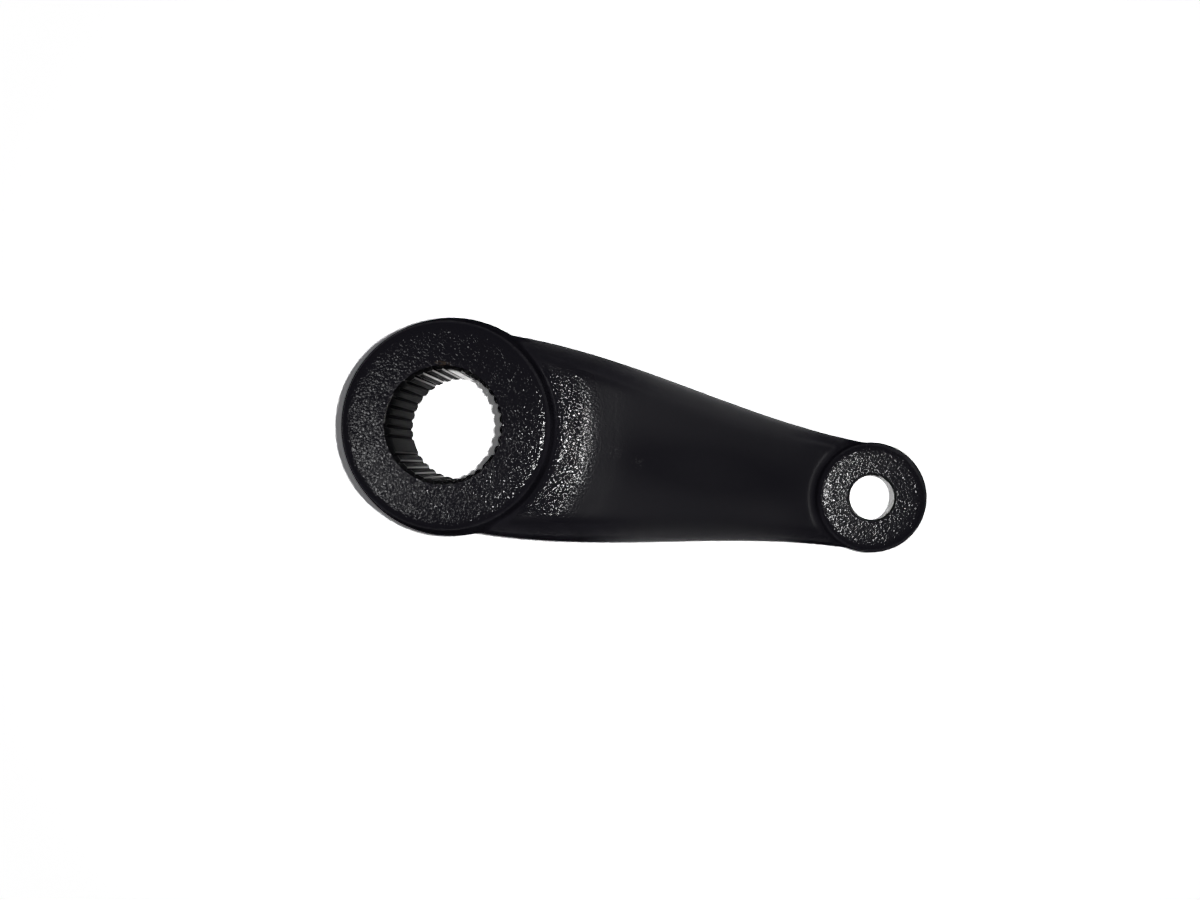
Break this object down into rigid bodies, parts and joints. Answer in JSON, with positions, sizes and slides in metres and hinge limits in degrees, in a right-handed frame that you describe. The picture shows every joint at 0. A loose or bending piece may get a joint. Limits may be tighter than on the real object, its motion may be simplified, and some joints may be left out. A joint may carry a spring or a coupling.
{
  "type": "pitman arm",
  "caption": "Forged steering arm that drops in an S from a boss with a serrated shaft bore to a smaller boss with a tapered ball-stud hole.",
  "frame": {"origin": "on the axis of the serrated shaft bore, at the nut face of the shaft boss", "axes": "+Z along the shaft axis towards the gearbox face, +X towards the ball-stud hole"},
  "size_m": [0.1692, 0.0622, 0.048],
  "materials": {
    "black_paint": "gloss black paint over a forged skin"
  },
  "bodies": {
    "root": {"pitman_arm": "black_paint"}
  },
  "joints": []
}
